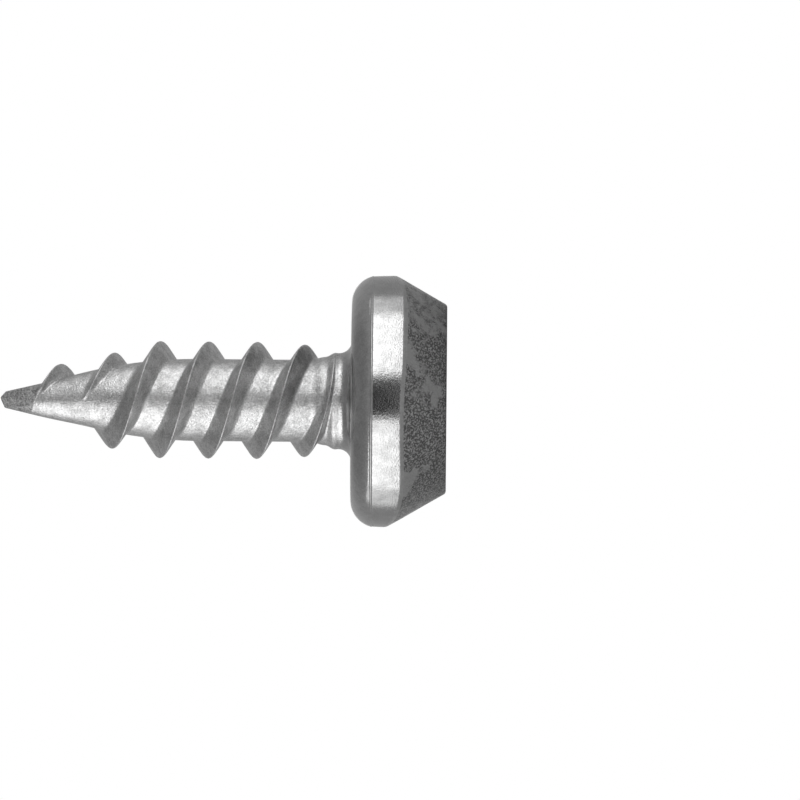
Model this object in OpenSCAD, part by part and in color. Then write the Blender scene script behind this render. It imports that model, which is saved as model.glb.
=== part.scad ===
// Framing screw for thin sheet metal: a thick conical head with a cross recess,
// a plain neck and a coarse two-start thread that runs out on a slim blunt point.
// Millimetres. The origin is the centre of the head's end face and +Z runs along
// the axis to the point, so the screw stands on its head.

/* [Head] */
// Diameter across the rim
head_d = 7.55; // [7:0.05:9]
// Height from the end face to the bearing face
head_h = 2.85; // [2.8:0.05:3.6]
// Diameter where the conical flank meets the end face
face_d = 5.63; // [5.4:0.01:6.4]
// Height of the crease in the flank
crease_h = 1.31; // [1.1:0.01:1.35]
// Distance from the rim in to the crease
crease_inset = 0.235; // [0.15:0.005:0.26]
// Slope of the band between the crease and the rim to the axis
band_slope = 26.5; // [26:0.5:29]
// Rounding between that band and the rim
rim_r = 1.05; // [0.3:0.01:1.2]
// Rounding between the rim and the bearing face
underside_r = 0.81; // [0.3:0.01:0.9]
// Rounding of the end face's edge
face_edge_r = 0.12; // [0.05:0.01:0.2]

/* [Neck] */
// Diameter of the plain neck under the head
neck_d = 2.87; // [2.7:0.01:3.2]
// Length of the neck, from the bearing face
neck_l = 0.55; // [0.5:0.05:1.5]
// Fillet between the bearing face and the neck
neck_fillet_r = 0.38; // [0.1:0.01:0.45]
// Diameter of the step between the neck and the thread's core
step_d = 2.64; // [2.5:0.01:2.8]
// Length of the step
step_l = 0.5; // [0.4:0.05:1]
// Length of the taper at each end of the step
step_taper_l = 0.17; // [0.05:0.01:0.2]

/* [Shank] */
// Length from the bearing face to the tip
shank_l = 10.5; // [9:0.5:40]
// Diameter of the core between the threads
core_d = 2.456; // [2.2:0.002:2.6]

/* [Thread] */
// Outside diameter
thread_d = 3.5; // [3.2:0.05:4.2]
// Distance between neighbouring ridges
pitch = 1.45; // [1:0.05:2]
// Number of ridges that wind side by side
thread_starts = 2; // [1:1:3]
// Direction of winding: -1 is left-hand and 1 is right-hand
thread_hand = -1; // [-1, 1]
// Angle between the two flanks of a ridge
thread_angle = 60; // [40:1:70]
// Width of the crest
crest_w = 0.07; // [0.03:0.01:0.15]
// Distance from the tip to the start of the first ridge
thread_start_l = 1.16; // [0.8:0.02:3]
// How far the ridges are drawn forward beside the tip
draw_l = 0.15; // [0:0.01:0.2]
// Distance from the tip at which they begin to be drawn forward
draw_from_l = 3.35; // [3:0.05:4]
// Distance from the tip at which they are drawn forward in full
draw_full_l = 1.75; // [1:0.05:2]
// Distance from the tip at which the ridges reach their full diameter
thread_full_l = 4.7; // [4:0.1:6]
// Slope of the crests to the axis from there to the tip
crest_slope = 11.3; // [8:0.1:16]
// Turns over which a ridge grows out of the point
runin_turns = 0.45; // [0.1:0.01:1]
// Distance from the bearing face to the end of the ridges
thread_end_l = 0.47; // [0.3:0.01:1.5]
// Length over which the ridges sink towards the neck
runout_l = 1.3; // [0.3:0.05:3]

/* [Point] */
// Angle across the point's cone
point_angle = 26.4; // [22:0.2:40]
// Radius of the curve between the cone and the core
point_blend_r = 14; // [2:0.5:18]
// Diameter of the cone at the tip
tip_d = 0.42; // [0.3:0.01:0.8]
// Sideways place of the tip's edge
tip_edge_x = 0.06; // [-0.1:0.01:0.1]
// Slope of the longer face beside the tip's edge
tip_long_slope = 25; // [5:1:40]
// Slope of the shorter face beside the tip's edge
tip_short_slope = 42; // [10:1:60]
// Slope of the pinched flat to the axis
pinch_slope = 22.5; // [20:0.5:40]
// Distance of the pinched flat from the axis at the tip
pinch_offset = 0.03; // [0:0.01:0.1]

/* [Recess] */
// Span of the cross at the end face, across two opposite wings
recess_span = 4.9; // [4.4:0.05:5.1]
// Width of a wing at its end, at the end face
recess_wing_w = 1.2; // [1:0.02:1.4]
// Angle by which each side of a wing opens towards the centre
recess_wing_flare = 2; // [0:0.5:6]
// Fillet between two wings at the end face
recess_corner_r = 0.6; // [0.2:0.02:0.8]
// Width of the bevel at the end of a wing
recess_bevel_w = 0.32; // [0.1:0.02:0.45]
// Depth of that bevel
recess_bevel_h = 0.3; // [0.1:0.02:0.5]
// Slope of the wing ends to the axis
recess_end_slope = 26.5; // [25:0.5:35]
// Span of the cross at its floor
floor_span = 2.18; // [1.8:0.02:2.6]
// Width of a wing at its end, at the floor
floor_wing_w = 0.46; // [0.3:0.02:0.6]
// Angle by which each side of a wing opens towards the centre at the floor
floor_flare = 27; // [15:1:35]
// Fillet between two wings at the floor
floor_corner_r = 0.2; // [0.05:0.01:0.4]
// Depth of the hollow in the floor
floor_hollow_h = 0.3; // [0.05:0.05:0.4]

/* [Hidden] */

// Steps round a full turn of a revolved surface and of a ridge
round_steps = 96;
ridge_steps = 48;
// Steps along an arc of the profile
arc_steps = 10;
// Steps along the corner of a wing and along the fillet between two wings
corner_steps = 3;
fillet_steps = 6;
// Rounding at the end of a wing, as a share of the wing's half width
wing_end_round = 0.18;
floor_end_round = 0.7;
// How far a ridge's foot lies under the core's surface
ridge_foot = 0.15;
// How far a ridge's ends lie under the surface
ridge_dive = 0.03;
// How far the recess's cutter stands out of the end face
cutter_over = 0.2;
// Angle round the axis at which the ridges start: the front
start_angle = -90;
// Size of the blocks that trim the tip
trim = 4;

head_r = head_d / 2;
face_r = face_d / 2;
crease_r = head_r - crease_inset;
flank_angle = atan((crease_r - face_r) / crease_h);
band_top_z = crease_h + crease_inset / tan(band_slope);
rim_room = head_h - underside_r - band_top_z;
rim_fit_r = min(rim_r, rim_room / tan(band_slope / 2));
rim_z = band_top_z + rim_fit_r * tan(band_slope / 2);

neck_r = neck_d / 2;
core_r = core_d / 2;
step_r = step_d / 2;
neck_end_z = head_h + neck_l;
step_end_z = neck_end_z + step_l;

tip_r = tip_d / 2;
tip_z = head_h + shank_l;
half_point = point_angle / 2;
cone_z = tip_z - (core_r - tip_r) / tan(half_point);
blend_t = point_blend_r * tan(half_point / 2);
blend_start_z = cone_z - blend_t;
blend_end_z = blend_start_z + point_blend_r * sin(half_point);

lead = pitch * thread_starts;
thread_r = thread_d / 2;
thread_end_z = head_h + thread_end_l;

bevelled_span = recess_span - 2 * recess_bevel_w;
recess_h = recess_bevel_h + (bevelled_span - floor_span) / 2 / tan(recess_end_slope);

// Points along an arc, from angle a0 to a1
function arc(centre, r, a0, a1, steps) = [
    for (i = [0:steps])
        let (a = a0 + (a1 - a0) * i / steps)
        centre + r * [cos(a), sin(a)]
];

// Radius of the core at height z, from the straight shank to the point
function core_at(z) =
    z < blend_start_z ? core_r :
    z < blend_end_z ? core_r - point_blend_r + sqrt(pow(point_blend_r, 2) - pow(z - blend_start_z, 2)) :
    tip_r + (tip_z - z) * tan(half_point);

// Radius and height along the head, from the axis to the bearing face
function head_profile() =
    let (edge_t = face_edge_r * tan((90 - flank_angle) / 2))
    concat(
        [[0, 0]],
        arc([face_r - edge_t, face_edge_r], face_edge_r, -90, -flank_angle, arc_steps),
        [[crease_r, crease_h]],
        arc([head_r - rim_fit_r, rim_z], rim_fit_r, -band_slope, 0, arc_steps),
        arc([head_r - underside_r, head_h - underside_r], underside_r, 0, 90, arc_steps)
    );

// Radius and height along the shank, from the bearing face to the tip
function shank_profile() = concat(
    arc([neck_r + neck_fillet_r, head_h + neck_fillet_r], neck_fillet_r, -90, -180, arc_steps),
    [
        [neck_r, neck_end_z],
        [step_r, neck_end_z + step_taper_l],
        [step_r, step_end_z - step_taper_l],
        [core_r, step_end_z]
    ],
    arc([core_r - point_blend_r, blend_start_z], point_blend_r, 0, half_point, arc_steps),
    [[tip_r, tip_z], [0, tip_z]]
);

module blank() {
    rotate_extrude($fn = round_steps)
        polygon(concat(head_profile(), shank_profile()));
}

// Height of a crest that an even pitch would put at height z
function drawn(z) =
    let (share = max(0, min(1, (draw_from_l - tip_z + z) / (draw_from_l - draw_full_l))))
    z + draw_l * share * share * (3 - 2 * share);

// Crest radius of a ridge, some turns after its start, where it has reached height z
function crest_at(turns, z) =
    let (
        sunk = core_at(z) - ridge_dive,
        full = min(thread_r, thread_r - (z - tip_z + thread_full_l) * tan(crest_slope)),
        left = 1 - min(1, turns / runin_turns),
        grown = full - (full - sunk) * left * left,
        neck_sunk = neck_r - ridge_dive,
        fading = neck_sunk + (thread_r - neck_sunk) * (z - thread_end_z) / runout_l
    )
    min(grown, fading);

// Section of a ridge, in radius and offset along the axis
function ridge_section(crest, foot) =
    let (
        half_crest = crest_w / 2,
        half_foot = half_crest + (crest - foot) * tan(thread_angle / 2)
    )
    [[foot, -half_foot], [foot, half_foot], [crest, half_crest], [crest, -half_crest]];

// One ridge: the section swept down the helix from the point to the neck
module ridge(start_z) {
    turns = (start_z - thread_end_z) / lead;
    steps = ceil(turns * ridge_steps);
    points = [
        for (i = [0:steps])
            let (
                t = turns * i / steps,
                z = drawn(start_z - lead * t),
                a = start_angle - thread_hand * 360 * t
            )
            for (p = ridge_section(crest_at(t, z), core_at(z) - ridge_foot))
                [p[0] * cos(a), p[0] * sin(a), z + p[1]]
    ];
    n = 4;
    sides = [
        for (i = [0:steps - 1], j = [0:n - 1])
            let (
                a = n * i + j,
                b = n * i + (j + 1) % n,
                c = b + n,
                d = a + n
            )
            each [[a, c, b], [a, d, c]]
    ];
    start_cap = [[0, 2, 3], [0, 1, 2]];
    end_cap = [for (f = [[0, 2, 1], [0, 3, 2]]) [for (k = f) n * steps + k]];
    faces = concat(sides, start_cap, end_cap);
    polyhedron(points, thread_hand < 0 ? faces : [for (f = faces) [f[0], f[2], f[1]]]);
}

module thread() {
    for (s = [0:thread_starts - 1])
        ridge(tip_z - thread_start_l - pitch * s);
}

// One quarter of the cross: the corner of a wing, the fillet and the next wing's corner
function cross_quarter(span, wing_w, flare, corner_r, end_r) =
    let (
        s = span / 2,
        w = wing_w / 2,
        end_t = end_r * tan((90 - flare) / 2),
        slant = tan(flare),
        c = (w + s * slant + corner_r / cos(flare)) / (1 + slant)
    )
    concat(
        arc([s - end_r, w - end_t], end_r, 0, 90 - flare, corner_steps),
        arc([c, c], corner_r, 270 - flare, 180 + flare, fillet_steps),
        arc([w - end_t, s - end_r], end_r, flare, 90, corner_steps)
    );

function cross_outline(span, wing_w, flare, corner_r, end_share) =
    let (quarter = cross_quarter(span, wing_w, flare, corner_r, end_share * wing_w / 2))
    [
        for (k = [0:3])
            each [for (p = quarter) [p[0] * cos(90 * k) - p[1] * sin(90 * k), p[0] * sin(90 * k) + p[1] * cos(90 * k)]]
    ];

// Solid of the cross recess, lofted through its outlines down to the floor's lowest point
module recess() {
    mouth = cross_outline(recess_span, recess_wing_w, recess_wing_flare, recess_corner_r, wing_end_round);
    shelf = cross_outline(bevelled_span, recess_wing_w, recess_wing_flare, recess_corner_r, wing_end_round);
    floor_edge = cross_outline(floor_span, floor_wing_w, floor_flare, floor_corner_r, floor_end_round);
    levels = [
        [mouth, -cutter_over],
        [mouth, 0],
        [shelf, recess_bevel_h],
        [floor_edge, recess_h]
    ];
    n = len(mouth);
    last = len(levels) - 1;
    points = concat(
        [for (l = levels) each [for (p = l[0]) [p[0], p[1], l[1]]]],
        [[0, 0, -cutter_over], [0, 0, recess_h + floor_hollow_h]]
    );
    top = n * (last + 1);
    lid = [for (j = [0:n - 1]) [top, j, (j + 1) % n]];
    walls = [
        for (i = [0:last - 1], j = [0:n - 1])
            let (
                a = n * i + j,
                b = n * i + (j + 1) % n,
                c = b + n,
                d = a + n
            )
            each [[a, c, b], [a, d, c]]
    ];
    hollow = [for (j = [0:n - 1]) [top + 1, n * last + (j + 1) % n, n * last + j]];
    polyhedron(points, concat(lid, walls, hollow));
}

// Two slanted faces that meet in the tip's edge, and the flat pinched on the front
module tip_trim() {
    for (slope = [tip_short_slope, -tip_long_slope])
        translate([tip_edge_x, 0, tip_z])
            rotate([0, slope, 0])
                translate([-trim / 2, -trim / 2, 0])
                    cube([trim, trim, trim]);
    translate([0, -pinch_offset, tip_z])
        rotate([-pinch_slope, 0, 0])
            translate([-trim / 2, -trim, -trim])
                cube([trim, trim, 2 * trim]);
}

module screw() {
    color([0.68, 0.68, 0.67])
        difference() {
            union() {
                blank();
                thread();
            }
            recess();
            tip_trim();
        }
}

screw();
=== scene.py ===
import math

import bmesh
import bpy
import numpy as np
from mathutils import Matrix, Vector


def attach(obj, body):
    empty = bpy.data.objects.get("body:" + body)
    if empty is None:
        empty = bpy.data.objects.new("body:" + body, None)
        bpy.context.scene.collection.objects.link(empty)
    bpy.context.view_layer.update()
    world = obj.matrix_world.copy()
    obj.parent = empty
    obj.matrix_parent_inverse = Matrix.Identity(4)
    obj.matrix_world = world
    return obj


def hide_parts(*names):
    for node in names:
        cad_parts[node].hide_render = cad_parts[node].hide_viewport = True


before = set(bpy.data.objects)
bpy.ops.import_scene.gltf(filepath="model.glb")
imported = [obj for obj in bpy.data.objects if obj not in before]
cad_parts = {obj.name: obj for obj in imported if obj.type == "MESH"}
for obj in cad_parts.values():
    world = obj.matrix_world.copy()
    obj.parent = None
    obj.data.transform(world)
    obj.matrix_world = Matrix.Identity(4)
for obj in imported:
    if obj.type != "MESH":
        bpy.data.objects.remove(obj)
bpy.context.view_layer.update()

# Lengths below are in millimetres and angles in degrees, as in the part's source.
MM = 0.001
# Direction of the camera's side round the axis
FRONT = -90

# Head
HEAD_R = 3.77
HEAD_H = 2.85
FACE_R = 2.815
CREASE_H = 1.31
CREASE_R = 3.525
BAND_SLOPE = 27.5
UNDERSIDE_R = 0.81
UNDERSIDE_END = HEAD_H - UNDERSIDE_R
FACE_EDGE_R = 0.12
FLANK_ANGLE = math.degrees(math.atan((CREASE_R - FACE_R) / CREASE_H))
FACE_EDGE_TOP = FACE_EDGE_R * (1 - math.sin(math.radians(FLANK_ANGLE)))

# Rim: a band that narrows from RIM_FROM_Z up, and a fine raised line round it
RIM_DRAFT = 2.4
RIM_FROM_Z = 1.6
RIM_SOFT = 0.02
RIM_BLEND = 0.04
LINE_Z = 2.235
LINE_H = 0.012
LINE_HALF_W = 0.025

# The slope under the rim, as this head was upset: off the axis, and fuller in front and most at
# its two front corners. FULL_FROM and FULL_AT run from -1 at the back to 1 at the front.
SLOPE_SHIFT = (0.08, -0.06)
FACE_SHIFT = (0.085, -0.05)
FRONT_FULLNESS = 0.185
CORNER_FULLNESS = 0.055
CORNER_SLANT = 0.03
FULL_FROM = -0.3
FULL_AT = 0.8
SLOPE_TOP = HEAD_H - UNDERSIDE_R / 4

# Neck and step
NECK_R = 1.435
NECK_END = HEAD_H + 0.55
NECK_FILLET_R = 0.38
STEP_R = 1.32
STEP_END = NECK_END + 0.58
STEP_TAPER = 0.17
STEP_END_TAPER = 0.25
STEP_ROUND = 0.04

# Core and point
CORE_R = 1.228
TIP_Z = HEAD_H + 10.5
TIP_R = 0.21
HALF_POINT = 13.2
POINT_BLEND_R = 14
PLAIN_TIP_H = 0.62

# The cut across the point's end, the pinched flat in front of it and the bend in it
CUT_FROM_Z = TIP_Z - 1.6
CUT_EDGE_X = 0.06
CUT_LONG_SLOPE = 25
CUT_SHORT_SLOPE = 42
CUT_ROUND = 0.035
PINCH_SLOPE = 22.5
PINCH_OFFSET = 0.03
PINCH_ROUND = 0.03
BEND = 0.042
BEND_FROM_Z = 10.6
BEND_FULL_Z = 12.2

# Thread
THREAD_R = 1.75
PITCH = 1.45
STARTS = 2
HAND = -1
FLANK_TAN = math.tan(math.radians(30))
HALF_CREST = 0.035
CREST_SOFT = 0.04
ROOT_FILLET = 0.1
RIDGE_DIVE = 0.03
HIDDEN_DEPTH = 1

# The ridges' start at the point, where they are drawn forward and steeper on the head's side
THREAD_START = TIP_Z - 1.16
RUNIN_TURNS = 0.45
FULL_Z = TIP_Z - 4.7
CREST_TAPER = math.tan(math.radians(11.3))
DRAW = 0.19
DRAW_FROM_Z = TIP_Z - 3.35
DRAW_FULL_Z = TIP_Z - 1.75
STEEP_BACK = 0.8
STEEP_FROM_Z = TIP_Z - 3
STEEP_FULL_Z = TIP_Z - 2

# The ridges' end on the neck, where they gather into a low ring
THREAD_END = HEAD_H + 0.47
RUNOUT = 1.2
END_CREST_H = 0.03
END_CREST_RUN = 1.6
GATHER_FROM_Z = HEAD_H + 0.78
GATHER_Z = HEAD_H + 0.455

# Recess
SPAN = 4.9
WING_W = 1.2
WING_FLARE = 2
CORNER_R = 0.6
BEVEL_W = 0.32
BEVEL_H = 0.3
END_SLOPE = 26.5
FLOOR_SPAN = 2.18
FLOOR_WING_W = 0.46
FLOOR_FLARE = 27
FLOOR_CORNER_R = 0.2
HOLLOW_H = 0.3
WING_END_ROUND = 0.18
FLOOR_END_ROUND = 0.7
MOUTH_ROUND = 0.05

# Mesh: columns round the axis, rows at these distances from each crest, a row on either side of
# the crease, and the distances within which rows snap to an end and points are welded
COLUMNS = 240
ROW_DISTANCES = (0.015, 0.035, 0.06, 0.11, 0.17, 0.23, 0.28, 0.32, 0.35, 0.38, 0.43, 0.52, 0.62)
CREASE_ROW = 0.012
END_SNAP = 0.003
WELD = 0.0004

# Where the finish of the shank, of the slope and of the sheared tip begins or ends. The slope's
# finish includes painted shade.
SHANK_FROM_Z = HEAD_H + 0.1
SHANK_FULL_Z = HEAD_H + 0.5
SLOPE_FULL_R = HEAD_R - 0.055
SLOPE_END_R = HEAD_R - 0.028
SLOPE_FADE_Z = 2.1
SLOPE_END_Z = 2.2
SHEAR_Z = 12.28
SHEAR_SLANT = 0.32
SHEAR_EDGE = 0.05

# Finish: sizes of the grain, greys, shades that multiply them, and roughness. On the slope the
# shades are painted shade: dark and light painted specks, and plain patches.
SPECKLE_SIZE = 0.05
PAINTED_SPECK_SIZE = 0.055
MOTTLE_SIZE = 0.3
PAINTED_PATCH_SIZE = 1.7
HEAD_GREY = 0.405
SHANK_GREY = 0.54
CLOUDS = 0.09
HEAD_CLOUDS = 0.4
PEPPER = 0.13
HEAD_PEPPER = 0.3
# Painted shade of the slope: the shade in its plain patches, and the dark and light ends of its
# painted specks
PLAIN_PATCH_SHADE = 0.95
PAINTED_SPECK_DARK = 0.38
PAINTED_SPECK_LIGHT = 1.22
TIP_SHADE = 0.66
HEAD_ROUGHNESS = 0.15
SHANK_ROUGHNESS = 0.365
SLOPE_ROUGHER = 0.1
TIP_ROUGHER = 0.2
MOTTLE_ROUGHER = 0.03
GRAIN_DEPTH = 0.01
HEAD_GRAIN = 0.35
SHANK_GRAIN = 1.2
TIP_GRAIN = 2.0

# Studio, in metres. A lamp's azimuth is 0 on the camera's side and 90 at +X.
LAMP_DISTANCE = 0.3
LAMP_AIM = Vector((0, 0, 0.006))
FLOOR_RADIUS = 3.0
FLOOR_GAP = 0.002 * MM
CARD_SIZE = 0.24
CARD_Y = 1.0


def smoothstep(share):
    """An even rise from 0 to 1, level before and after it."""
    share = np.clip(share, 0, 1)
    return share * share * (3 - 2 * share)


def smooth_max(a, b, width):
    """The larger of a and b, with a fillet where they meet."""
    gap = np.maximum(width - np.abs(a - b), 0)
    return np.maximum(a, b) + gap * gap / (4 * width)


def smooth_min(a, b, width):
    return -smooth_max(-a, -b, width)


def polar(radius, angle, z):
    return (radius * math.cos(angle), radius * math.sin(angle), z)


def arc(centre, radius, start, end, steps):
    """Points along an arc, from angle start to angle end."""
    angles = np.radians(np.linspace(start, end, steps + 1))
    return [(centre[0] + radius * math.cos(a), centre[1] + radius * math.sin(a)) for a in angles]


def column_angle(column):
    return math.radians(FRONT - HAND * 360 * column / COLUMNS)


def column_angles():
    return [column_angle(column) for column in range(COLUMNS)]


class Rings:
    """Collects rings of points round the axis and the faces between them."""

    def __init__(self):
        self.points = []
        self.faces = []

    def row(self, points):
        """Adds points and returns their indices."""
        first = len(self.points)
        self.points.extend(points)
        return list(range(first, len(self.points)))

    def face(self, corners):
        """Adds a face, without the corners that fall together."""
        kept = [c for i, c in enumerate(corners) if c != corners[i - 1]]
        if len(set(kept)) > 2:
            self.faces.append(kept)

    def bridge(self, above, below):
        """Quads between two rings."""
        for j in range(COLUMNS):
            k = (j + 1) % COLUMNS
            self.face([above[j], below[j], below[k], above[k]])

    def down(self, ring, points):
        """Joins a new ring on below, or further in, and returns it."""
        new = self.row(points)
        self.bridge(ring, new)
        return new

    def up(self, ring, points):
        """Joins a new ring on above and returns it."""
        new = self.row(points)
        self.bridge(new, ring)
        return new

    def close(self, ring, centre):
        """Closes a ring that runs anticlockwise, seen from outside, with a fan of triangles."""
        middle = self.row([centre])[0]
        for j in range(COLUMNS):
            self.face([middle, ring[j - 1], ring[j]])


def core_radius(z):
    """Radius of the core from the thread's last turn to the tip."""
    slope = math.tan(math.radians(HALF_POINT))
    corner = TIP_Z - (CORE_R - TIP_R) / slope
    start = corner - POINT_BLEND_R * math.tan(math.radians(HALF_POINT / 2))
    end = start + POINT_BLEND_R * math.sin(math.radians(HALF_POINT))
    into = np.clip(z - start, 0, end - start)
    curve = CORE_R - POINT_BLEND_R + np.sqrt(POINT_BLEND_R ** 2 - into ** 2)
    return np.where(z < end, curve, TIP_R + (TIP_Z - z) * slope)


def shoulder(z, radius, next_radius, from_z, length):
    """A cylinder that tapers to the next radius from from_z on."""
    taper = radius - (z - from_z) * (radius - next_radius) / length
    return smooth_min(np.full_like(z, radius), taper, STEP_ROUND)


def shank_radius(z):
    """Radius of the neck, the step and the core, with the ridges left out."""
    neck = shoulder(z, NECK_R, STEP_R, NECK_END, STEP_TAPER)
    step = shoulder(z, STEP_R, CORE_R, STEP_END - STEP_END_TAPER, STEP_END_TAPER)
    return smooth_max(smooth_max(neck, step, STEP_ROUND), core_radius(z), STEP_ROUND)


def drawn(z):
    """Height of a point that an even pitch would put at height z.

    The ridges are drawn forward near the tip, and their ends gather into a ring on the neck.
    """
    span = GATHER_FROM_Z - GATHER_Z
    gathered = GATHER_Z + span * np.exp(-np.maximum(GATHER_FROM_Z - z, 0) / span)
    forward = DRAW * smoothstep((z - DRAW_FROM_Z) / (DRAW_FULL_Z - DRAW_FROM_Z))
    return np.where(z < GATHER_FROM_Z, gathered, z + forward)


def crest_path(ridge, column):
    """Height of a ridge's crest on an even pitch, and its turns since its start at the point."""
    turns = ridge // STARTS + column / COLUMNS
    return THREAD_START - PITCH * (ridge % STARTS) - PITCH * STARTS * turns, turns


def crest_radius(turns, path_z):
    """Radius of a ridge's crest, some turns after its start at the point."""
    z = drawn(path_z)
    sunk = core_radius(z) - RIDGE_DIVE
    full = np.minimum(THREAD_R, THREAD_R - (z - FULL_Z) * CREST_TAPER)
    left = 1 - np.clip(turns / RUNIN_TURNS, 0, 1)
    grown = full - (full - sunk) * left * left
    end_r = NECK_R + END_CREST_H
    fading = end_r + (THREAD_R - end_r) * np.maximum(z - THREAD_END, 0) / RUNOUT
    sinking = np.clip((GATHER_FROM_Z - path_z) / END_CREST_RUN, 0, 1)
    fading = fading - (END_CREST_H + ROOT_FILLET) * sinking
    return np.where(turns < 0, sunk - HIDDEN_DEPTH, smooth_min(grown, fading, CREST_SOFT))


def ridge_radius(z, ridge, column):
    """Radius of the thread's flanks, as the highest of a ridge and its two neighbours."""
    flanks = []
    for step in (-1, 0, 1):
        path_z, turns = crest_path(ridge + step, column)
        crest_z = drawn(path_z)
        steepening = np.clip((crest_z - STEEP_FROM_Z) / (STEEP_FULL_Z - STEEP_FROM_Z), 0, 1)
        ahead = (z - crest_z) * np.where(z < crest_z, 1 + STEEP_BACK * steepening, 1)
        off_crest = np.sqrt(ahead ** 2 + HALF_CREST ** 2) - HALF_CREST
        flanks.append(crest_radius(turns, path_z) - off_crest / FLANK_TAN)
    return np.maximum.reduce(flanks)


def shank_grid(top_z, bottom_z):
    """Heights and radii of the threaded part, a row for each line along the ridges.

    The heights run on past either end, and the radii are those of the heights within.
    """
    offsets = (PITCH / 2, *reversed(ROW_DISTANCES), 0, *(-u for u in ROW_DISTANCES))
    first = -STARTS - 1
    last = math.ceil((THREAD_START - bottom_z) / PITCH) + 1
    ridges = np.repeat(np.arange(first, last + 1), len(offsets))
    offset = np.tile(offsets, last - first + 1)
    ridge, column = np.meshgrid(ridges, np.arange(COLUMNS), indexing="ij")
    even_z, _ = crest_path(ridge, column)
    heights = drawn(even_z + offset[:, None])
    for end_z in (top_z, bottom_z):
        heights = np.where(np.abs(heights - end_z) < END_SNAP, end_z, heights)
    z = np.clip(heights, bottom_z, top_z)
    radii = smooth_max(shank_radius(z), ridge_radius(z, ridge, column), ROOT_FILLET)
    return heights, radii, STARTS * len(offsets)


def add_shank(rings, top_z, bottom_z):
    """The threaded part. Its rows follow the helix, and those past either end fall together."""
    heights, radii, shift = shank_grid(top_z, bottom_z)
    rows = len(heights)
    top_r = float(shank_radius(np.array([top_z]))[0])
    top = [None] * COLUMNS
    bottom = [None] * COLUMNS
    index = np.empty(heights.shape, dtype=int)
    for j, angle in enumerate(column_angles()):
        for i in range(rows):
            z, r = float(heights[i, j]), float(radii[i, j])
            if z >= top_z:
                if top[j] is None:
                    top[j] = rings.row([polar(top_r, angle, top_z)])[0]
                index[i, j] = top[j]
            elif z <= bottom_z:
                if bottom[j] is None:
                    bottom[j] = rings.row([polar(r, angle, bottom_z)])[0]
                index[i, j] = bottom[j]
            else:
                index[i, j] = rings.row([polar(r, angle, z)])[0]

    for j in range(COLUMNS - 1):
        for i in range(rows - 1):
            rings.face([index[i, j], index[i + 1, j], index[i + 1, j + 1], index[i, j + 1]])
    for i, k in zip(range(rows - 1), range(shift, rows - 1)):
        rings.face([index[i, -1], index[i + 1, -1], index[k + 1, 0], index[k, 0]])
    return top, bottom


def add_tip(rings, ring, from_z):
    """The plain end of the point: rings up to the tip, then a cap."""
    for z in np.linspace(from_z, TIP_Z, 15)[1:]:
        ring = rings.up(ring, [polar(float(core_radius(z)), a, z) for a in column_angles()])
    for share in (0.85, 0.65, 0.4, 0.2):
        ring = rings.up(ring, [polar(TIP_R * share, a, TIP_Z) for a in column_angles()])
    rings.close(ring, (0, 0, TIP_Z))


def add_neck(rings, ring, from_z):
    """Rings from the thread's end to the fillet, where the ring of gathered ridges fades."""
    left_over = [math.hypot(*rings.points[i][:2]) - NECK_R for i in ring]
    fillet_top = HEAD_H + NECK_FILLET_R
    for share in np.linspace(0, 1, 9)[1:-1]:
        z = from_z + (fillet_top - from_z) * share
        radii = [NECK_R + over * smoothstep(1 - share) for over in left_over]
        ring = rings.down(ring, [polar(r, a, z) for r, a in zip(radii, column_angles())])
    return ring


def slope_radius(z):
    """Radius of the slope between the rim and the end face, round its own axis."""
    if z > CREASE_H:
        return CREASE_R + (z - CREASE_H) * math.tan(math.radians(BAND_SLOPE))
    return FACE_R + (CREASE_R - FACE_R) * z / CREASE_H


def slope_lean(a, z):
    """How far the slope lies outside an even cone, in direction a."""
    share = z / CREASE_H
    x, y = (face + (slope - face) * share for face, slope in zip(FACE_SHIFT, SLOPE_SHIFT))
    corner = (CORNER_FULLNESS - CORNER_SLANT * math.cos(a)) * math.sin(2 * a) ** 2
    in_front = smoothstep((-math.sin(a) - FULL_FROM) / (FULL_AT - FULL_FROM))
    fullness = (FRONT_FULLNESS + corner) * in_front
    return x * math.cos(a) + y * math.sin(a) + fullness * share


def head_ring(radius, z):
    """One ring of the head, with the slope cut into the rim."""
    points = []
    for a in column_angles():
        lean = slope_lean(a, z)
        r = radius
        if z <= FACE_EDGE_TOP + END_SNAP:
            r = radius + lean
        elif z < SLOPE_TOP:
            r = float(smooth_min(radius, slope_radius(z) + lean, RIM_BLEND))
        points.append(polar(r, a, z))
    return points


def rim_radius(z):
    """Radius of the rounded underside and the rim, with the fine raised line between them."""
    above = max(z - UNDERSIDE_END, 0)
    rounded = HEAD_R - UNDERSIDE_R + math.sqrt(UNDERSIDE_R ** 2 - above ** 2)
    band = HEAD_R - (z - RIM_FROM_Z) * math.tan(math.radians(RIM_DRAFT))
    line = LINE_H * math.exp(-((z - LINE_Z) / LINE_HALF_W) ** 2)
    return min(float(smooth_min(rounded, band, RIM_SOFT)), HEAD_R) + line


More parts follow.
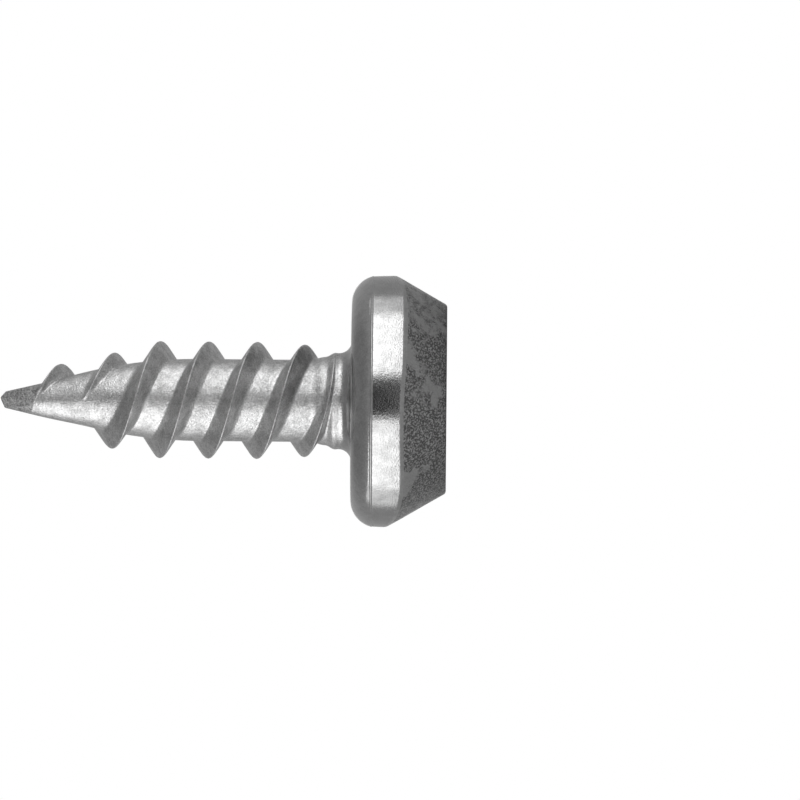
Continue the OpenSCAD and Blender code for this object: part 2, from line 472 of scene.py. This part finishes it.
def head_profile():
    """Radius and height down the head, from the neck to the end face, before the slope cuts it."""
    fillet_r = NECK_R + NECK_FILLET_R
    neck = arc((fillet_r, HEAD_H + NECK_FILLET_R), NECK_FILLET_R, 180, 270, steps=10)
    bearing = [(r, HEAD_H) for r in np.linspace(fillet_r, HEAD_R - UNDERSIDE_R, 8)[1:-1]]
    underside = arc((HEAD_R - UNDERSIDE_R, UNDERSIDE_END), UNDERSIDE_R, 90, 25, steps=14)
    line_top, line_bottom = LINE_Z + 3 * LINE_HALF_W, LINE_Z - 3 * LINE_HALF_W
    above_crease, below_crease = CREASE_H + CREASE_ROW, CREASE_H - CREASE_ROW
    heights = [*np.linspace(underside[-1][1], line_top, 5)[1:-1]]
    heights += [*np.linspace(line_top, line_bottom, 13)]
    heights += [*np.linspace(line_bottom, above_crease, 30)[1:], CREASE_H, below_crease]
    rim = [(rim_radius(z), z) for z in heights]
    flank = [(HEAD_R, z) for z in np.linspace(below_crease, FACE_EDGE_TOP, 18)[1:-1]]
    edge = FACE_EDGE_R * math.tan(math.radians((90 - FLANK_ANGLE) / 2))
    face_edge = arc((FACE_R - edge, FACE_EDGE_R), FACE_EDGE_R, -FLANK_ANGLE, -90, steps=6)
    return neck + bearing + underside + rim + flank + face_edge


def cross_quarter(span, wing_w, flare, corner_r, end_r):
    """A quarter of the cross, from the middle of one wing's end to the middle of the next one's.

    It has a quarter of COLUMNS points.
    """
    s, w = span / 2, wing_w / 2
    slant = math.tan(math.radians(flare))
    end_t = end_r * math.tan(math.radians((90 - flare) / 2))
    c = (w + s * slant + corner_r / math.cos(math.radians(flare))) / (1 + slant)
    end_steps, corner_steps, side_steps, fillet_steps = 5, 5, 12, 16
    half_end = [(s, y) for y in np.linspace(0, w - end_t, end_steps + 1)[:-1]]
    corner = arc((s - end_r, w - end_t), end_r, 0, 90 - flare, corner_steps)
    fillet = arc((c, c), corner_r, 270 - flare, 180 + flare, fillet_steps)
    side = [tuple(p) for p in np.linspace(corner[-1], fillet[0], side_steps + 1)[1:-1]]
    first = half_end + corner + side + fillet[:fillet_steps // 2]
    middle = fillet[fillet_steps // 2]
    mirrored = [(y, x) for x, y in first[::-1]]
    return first + [middle] + mirrored[:-1]


def cross_ring(span, wing_w, flare, corner_r, end_share, z, grow=0.0):
    """The cross at height z, grown outwards by grow, its points in the order of the columns."""
    end_r = end_share * wing_w / 2 + grow
    quarter = cross_quarter(span + 2 * grow, wing_w + 2 * grow, flare, corner_r - grow, end_r)
    points = []
    for turn in range(4):
        c, s = round(math.cos(turn * math.pi / 2)), round(math.sin(turn * math.pi / 2))
        points += [(x * c - y * s, x * s + y * c, z) for x, y in quarter]
    places = [round(a / (2 * math.pi) * COLUMNS) % COLUMNS for a in column_angles()]
    return [points[place] for place in places]


def wide_cross(z, span=SPAN, grow=0.0):
    return cross_ring(span, WING_W, WING_FLARE, CORNER_R, WING_END_ROUND, z, grow)


def blend_rings(a, b, shares):
    """Rings on the way from ring a to ring b."""
    return [[tuple(p + (q - p) * t for p, q in zip(u, v)) for u, v in zip(a, b)] for t in shares]


def rounded_mouth():
    """The rounded edge between the end face and the recess."""
    levels = []
    for a in np.radians(np.linspace(0, 90, 5)):
        grow, drop = MOUTH_ROUND * (1 - math.sin(a)), MOUTH_ROUND * (1 - math.cos(a))
        levels.append(wide_cross(drop, grow=grow))
    return levels


def add_face_and_recess(rings, ring, edge):
    """The flat end face and the cross recess in it, down to the floor's lowest point."""
    shelf_span = SPAN - 2 * BEVEL_W
    depth = BEVEL_H + (shelf_span - FLOOR_SPAN) / 2 / math.tan(math.radians(END_SLOPE))
    mouth = rounded_mouth()
    shelf = wide_cross(BEVEL_H, span=shelf_span)
    floor = (FLOOR_SPAN, FLOOR_WING_W, FLOOR_FLARE, FLOOR_CORNER_R, FLOOR_END_ROUND)
    base = cross_ring(*floor, depth)
    bottom = (0, 0, depth + HOLLOW_H)
    wall_rows = (0.02, 0.06, 0.15, 0.3, 0.45, 0.6, 0.75, 0.88, 0.95, 0.985)
    floor_rows = (0.02, 0.08, 0.2, 0.4, 0.6, 0.8, 0.92)
    levels = blend_rings(edge, mouth[0], (0.25, 0.5, 0.75)) + mouth
    levels += blend_rings(mouth[-1], shelf, (0.3, 0.65, 0.9))
    levels += blend_rings(shelf, base, wall_rows)
    levels += blend_rings(base, [bottom] * COLUMNS, floor_rows)
    for points in levels:
        ring = rings.down(ring, points)
    rings.close(ring[::-1], bottom)


def shape_tip(points):
    """Presses the flat into the point's front, cuts its end along two slants and bends it."""
    x, y, z = points[:, 0], points[:, 1], points[:, 2]
    near = z > CUT_FROM_Z
    flat = -(PINCH_OFFSET + (TIP_Z - z) * math.tan(math.radians(PINCH_SLOPE)))
    short = TIP_Z - (x - CUT_EDGE_X) * math.tan(math.radians(CUT_SHORT_SLOPE))
    long = TIP_Z + (x - CUT_EDGE_X) * math.tan(math.radians(CUT_LONG_SLOPE))
    roof = smooth_min(short, long, CUT_ROUND)
    bent = smoothstep((z - BEND_FROM_Z) / (BEND_FULL_Z - BEND_FROM_Z))
    shaped = points.copy()
    shaped[:, 0] = x - BEND * bent
    shaped[:, 1] = np.where(near, smooth_max(y, flat, PINCH_ROUND), y)
    shaped[:, 2] = np.where(near, smooth_min(z, roof, CUT_ROUND), z)
    return shaped


def weld(mesh):
    """Joins the points that all but fall together at the ends of the mesh's rows."""
    work = bmesh.new()
    work.from_mesh(mesh)
    bmesh.ops.remove_doubles(work, verts=work.verts, dist=WELD * MM)
    work.to_mesh(mesh)
    work.free()


def make_screw():
    """The whole screw as one closed mesh."""
    rings = Rings()
    top_z, bottom_z = TIP_Z - PLAIN_TIP_H, THREAD_END
    top, ring = add_shank(rings, top_z, bottom_z)
    add_tip(rings, top, top_z)
    ring = add_neck(rings, ring, bottom_z)
    for radius, z in head_profile():
        edge = head_ring(radius, z)
        ring = rings.down(ring, edge)
    add_face_and_recess(rings, ring, edge)
    points = shape_tip(np.array(rings.points, dtype=float)) * MM
    mesh = bpy.data.meshes.new("screw_body")
    mesh.from_pydata(points.tolist(), [], rings.faces)
    weld(mesh)
    mesh.validate()
    mesh.polygons.foreach_set("use_smooth", [True] * len(mesh.polygons))
    piece = bpy.data.objects.new("screw_body", mesh)
    bpy.context.collection.objects.link(piece)
    return piece


class Tree:
    """Builds the nodes of a material or of the world."""

    def __init__(self, owner):
        owner.use_nodes = True
        self.nodes = owner.node_tree.nodes
        self.link = owner.node_tree.links.new

    def new(self, kind):
        return self.nodes.new("ShaderNode" + kind)

    def place(self, kind):
        """A texture coordinate, whole and as its X, Y and Z."""
        whole = self.new("TexCoord").outputs[kind]
        split = self.new("SeparateXYZ")
        self.link(whole, split.inputs["Vector"])
        return (whole, *split.outputs)

    def noise(self, place, size, detail, roughness):
        """Noise from 0 to 1, with a grain of the given size in millimetres."""
        node = self.new("TexNoise")
        node.inputs["Scale"].default_value = 1 / (size * MM)
        node.inputs["Detail"].default_value = detail
        node.inputs["Roughness"].default_value = roughness
        self.link(place, node.inputs["Vector"])
        return node.outputs["Fac"]

    def ramp(self, value, low, high, to_low=0.0, to_high=1.0):
        """Takes value from low to high smoothly to to_low to to_high."""
        node = self.new("MapRange")
        node.interpolation_type = "SMOOTHSTEP"
        ends = {"From Min": low, "From Max": high, "To Min": to_low, "To Max": to_high}
        for name, number in ends.items():
            node.inputs[name].default_value = number
        self.link(value, node.inputs["Value"])
        return node.outputs["Result"]

    def between(self, share, at_none, at_full):
        """A value that goes from at_none to at_full as share goes from 0 to 1."""
        return self.ramp(share, 0.0, 1.0, at_none, at_full)

    def combine(self, operation, first, *others):
        """Adds, multiplies and so on two or more values, each a socket or a number."""
        for other in others:
            node = self.new("Math")
            node.operation = operation
            for socket, value in zip(node.inputs, (first, other)):
                if isinstance(value, float):
                    socket.default_value = value
                else:
                    self.link(value, socket)
            first = node.outputs[0]
        return first

    def mix_surface(self, share, first, second):
        """Makes the material's surface a mix of two shaders."""
        mix = self.new("MixShader")
        self.link(share, mix.inputs["Fac"])
        self.link(first, mix.inputs[1])
        self.link(second, mix.inputs[2])
        self.link(mix.outputs["Shader"], self.nodes["Material Output"].inputs["Surface"])


def zinc_zones(tree, x, y, z):
    """How far a point is on the shank, the head's slope and the sheared tip, from 0 to 1."""
    on_shank = tree.ramp(z, SHANK_FROM_Z * MM, SHANK_FULL_Z * MM)
    squares = [tree.combine("MULTIPLY", side, side) for side in (x, y)]
    radius = tree.combine("POWER", tree.combine("ADD", *squares), 0.5)
    inside_rim = tree.ramp(radius, SLOPE_FULL_R * MM, SLOPE_END_R * MM, 1.0, 0.0)
    under_rim = tree.ramp(z, SLOPE_FADE_Z * MM, SLOPE_END_Z * MM, 1.0, 0.0)
    on_slope = tree.combine("MULTIPLY", inside_rim, under_rim)
    slant = tree.combine("ADD", z, tree.combine("MULTIPLY", x, SHEAR_SLANT))
    on_tip = tree.ramp(slant, (SHEAR_Z - SHEAR_EDGE) * MM, (SHEAR_Z + SHEAR_EDGE) * MM)
    return on_shank, on_slope, on_tip


def painted_slope_shade(tree, place, mottle):
    """Painted shade of the slope: dark and light painted specks, and plain patches at random."""
    blotch = tree.noise(place, PAINTED_PATCH_SIZE, 1, 0.5)
    fine = tree.noise(place, PAINTED_SPECK_SIZE, 1, 0.5)
    patch_noise = tree.combine("ADD", tree.combine("MULTIPLY", mottle, 0.6), blotch)
    # Painted speckled shade over most of the slope, and plain patches where the noise is high
    painted_speckling = tree.ramp(patch_noise, 0.78, 1.02, 1.0, 0.0)
    painted_specks = tree.ramp(fine, 0.42, 0.68, PAINTED_SPECK_DARK, PAINTED_SPECK_LIGHT)
    plain_patches = tree.between(painted_speckling, PLAIN_PATCH_SHADE, 0.0)
    return tree.combine("ADD", plain_patches, tree.combine("MULTIPLY", painted_speckling, painted_specks))


def zinc_grey(tree, place, zones, speckle, mottle):
    """Base colour: cloudy and peppered on the shank, darkened with painted shade in specks on the
    slope, dark at the tip.
    """
    on_shank, on_slope, on_tip = zones
    clouds = tree.ramp(mottle, 0.3, 0.7, -CLOUDS, CLOUDS)
    clouds = tree.combine("MULTIPLY", clouds, tree.between(on_shank, HEAD_CLOUDS, 1.0))
    pepper = tree.ramp(speckle, 0.25, 0.75, -PEPPER, PEPPER)
    strength = tree.combine("ADD", tree.between(on_shank, HEAD_PEPPER, 1.0), on_tip)
    pepper = tree.combine("MULTIPLY", pepper, strength)
    grey = tree.combine("ADD", tree.between(on_shank, HEAD_GREY, SHANK_GREY), clouds, pepper)
    # Painted shade on the slope darkens its base colour
    painted_speckling = tree.combine("MULTIPLY", on_slope, painted_slope_shade(tree, place, mottle))
    slope_shade = tree.combine("ADD", tree.between(on_slope, 1.0, 0.0), painted_speckling)
    return tree.combine("MULTIPLY", grey, slope_shade, tree.between(on_tip, 1.0, TIP_SHADE))


def zinc_roughness(tree, zones, mottle):
    """Roughness: least on the head's rim and underside, most at the tip."""
    on_shank, on_slope, on_tip = zones
    base = tree.between(on_shank, HEAD_ROUGHNESS, SHANK_ROUGHNESS)
    slope = tree.between(on_slope, 0.0, SLOPE_ROUGHER)
    tip = tree.between(on_tip, 0.0, TIP_ROUGHER)
    clouds = tree.ramp(mottle, 0.3, 0.7, MOTTLE_ROUGHER, -MOTTLE_ROUGHER)
    return tree.combine("ADD", base, slope, tip, clouds)


def zinc_bump(tree, zones, speckle):
    """Normals of the fine grain, deepest at the tip."""
    on_shank, on_slope, on_tip = zones
    base = tree.between(on_shank, HEAD_GRAIN, SHANK_GRAIN)
    depth = tree.combine("ADD", base, on_slope, tree.between(on_tip, 0.0, TIP_GRAIN))
    bump = tree.new("Bump")
    bump.inputs["Distance"].default_value = GRAIN_DEPTH * MM
    tree.link(tree.combine("MULTIPLY", speckle, depth), bump.inputs["Height"])
    return bump.outputs["Normal"]


def zinc():
    """Bright zinc plating on cold-formed steel, rougher on the rolled shank than on the head."""
    material = bpy.data.materials.new("zinc_plated_steel")
    tree = Tree(material)
    place, x, y, z = tree.place("Object")
    zones = zinc_zones(tree, x, y, z)
    speckle = tree.noise(place, SPECKLE_SIZE, 2, 0.6)
    mottle = tree.noise(place, MOTTLE_SIZE, 3, 0.65)
    shader = tree.nodes["Principled BSDF"]
    shader.inputs["Metallic"].default_value = 1.0
    tree.link(zinc_grey(tree, place, zones, speckle, mottle), shader.inputs["Base Color"])
    tree.link(zinc_roughness(tree, zones, mottle), shader.inputs["Roughness"])
    tree.link(zinc_bump(tree, zones, speckle), shader.inputs["Normal"])
    return material


def paper(name, grey):
    """A plain matt material, its nodes and its shader's output."""
    material = bpy.data.materials.new(name)
    tree = Tree(material)
    shader = tree.nodes["Principled BSDF"]
    shader.inputs["Base Color"].default_value = (grey, grey, grey, 1)
    shader.inputs["Roughness"].default_value = 0.9
    shader.inputs["Specular IOR Level"].default_value = 0.2
    return material, tree, shader.outputs["BSDF"]


def make_floor():
    """A wide pale floor under the head, seen only from above."""
    bpy.ops.mesh.primitive_circle_add(
        vertices=96, radius=FLOOR_RADIUS, fill_type="NGON", location=(0, 0, -FLOOR_GAP)
    )
    floor = bpy.context.object
    floor.name = "floor"
    material, tree, surface = paper("floor_paper", 0.9)
    from_below = tree.new("NewGeometry").outputs["Backfacing"]
    clear = tree.new("BsdfTransparent").outputs["BSDF"]
    tree.mix_surface(from_below, surface, clear)
    floor.data.materials.append(material)


def make_backdrop():
    """A card well behind the screw, plain white to the camera and in reflections."""
    bpy.ops.mesh.primitive_plane_add(
        size=CARD_SIZE, location=(0, CARD_Y, 0), rotation=(math.radians(90), 0, 0)
    )
    card = bpy.context.object
    card.name = "backdrop"
    material, tree, surface = paper("backdrop_card", 1)
    rays = tree.new("LightPath").outputs
    kinds = (rays["Is Camera Ray"], rays["Is Glossy Ray"], rays["Is Transmission Ray"])
    white = tree.new("Emission").outputs["Emission"]
    tree.mix_surface(tree.combine("MAXIMUM", *kinds), surface, white)
    card.data.materials.append(material)


def soft_box(name, azimuth, elevation, width, height, radiance):
    """An area light aimed at the screw."""
    a, e = math.radians(azimuth), math.radians(elevation)
    back = Vector((math.sin(a) * math.cos(e), -math.cos(a) * math.cos(e), math.sin(e)))
    lamp = bpy.data.lights.new(name, "AREA")
    lamp.shape = "RECTANGLE"
    lamp.size, lamp.size_y = width, height
    lamp.energy = radiance * math.pi * width * height
    light = bpy.data.objects.new(name, lamp)
    light.location = LAMP_AIM + back * LAMP_DISTANCE
    light.rotation_mode = "QUATERNION"
    light.rotation_quaternion = back.to_track_quat("Z", "Y")
    bpy.context.collection.objects.link(light)


def make_lights():
    """Two wide soft boxes in front, and two dim narrow ones at the sides."""
    soft_box("box_right", azimuth=56, elevation=1, width=0.375, height=0.185, radiance=2.3)
    soft_box("box_left", azimuth=-52, elevation=7, width=0.436, height=0.25, radiance=2.1)
    soft_box("fill_right", azimuth=100, elevation=3, width=0.12, height=0.2, radiance=0.8)
    soft_box("fill_left", azimuth=-100, elevation=6, width=0.12, height=0.24, radiance=0.9)


def make_world():
    """A grey studio, dark straight in front of the screw and a little darker overhead."""
    world = bpy.data.worlds.new("studio")
    bpy.context.scene.world = world
    tree = Tree(world)
    _, _, y, z = tree.place("Generated")
    walls = tree.ramp(y, -1.0, -0.78, 0.05, 0.42)
    ceiling = tree.ramp(z, 0.5, 0.9, 1.0, 0.7)
    light = tree.combine("MULTIPLY", walls, ceiling)
    tree.link(light, tree.nodes["Background"].inputs["Color"])


def make_camera():
    """Side on, a little past the end face's plane, with the screw's axis across the picture."""
    pixels_per_mm = 33.43
    end_face_pixel = 446.5
    frame_pixels = 800
    lens = 600.0
    sensor = 36.0
    elevation = math.radians(-0.24)
    roll = math.radians(0.5)
    axis_drop = 0.051 * MM
    width = frame_pixels / pixels_per_mm * MM
    distance = width * lens / sensor
    target = Vector((axis_drop, 0, (end_face_pixel - frame_pixels / 2) / pixels_per_mm * MM))
    back = Vector((0, -math.cos(elevation), math.sin(elevation)))
    up = Vector((1, 0, 0))
    up.rotate(Matrix.Rotation(roll, 3, back))
    right = up.cross(back)
    data = bpy.data.cameras.new("camera")
    data.lens = lens
    data.sensor_width = sensor
    data.clip_start = 0.01
    data.clip_end = 10.0
    camera = bpy.data.objects.new("camera", data)
    turn = Matrix((right, up, back)).transposed().to_4x4()
    camera.matrix_world = Matrix.Translation(target + back * distance) @ turn
    bpy.context.collection.objects.link(camera)
    bpy.context.scene.camera = camera


make_camera()
screw = make_screw()
screw.data.materials.append(zinc())
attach(screw, "root")
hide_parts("screw")
make_floor()
make_backdrop()
make_lights()
make_world()
bpy.context.scene.view_settings.view_transform = "Standard"

bpy.context.view_layer.update()
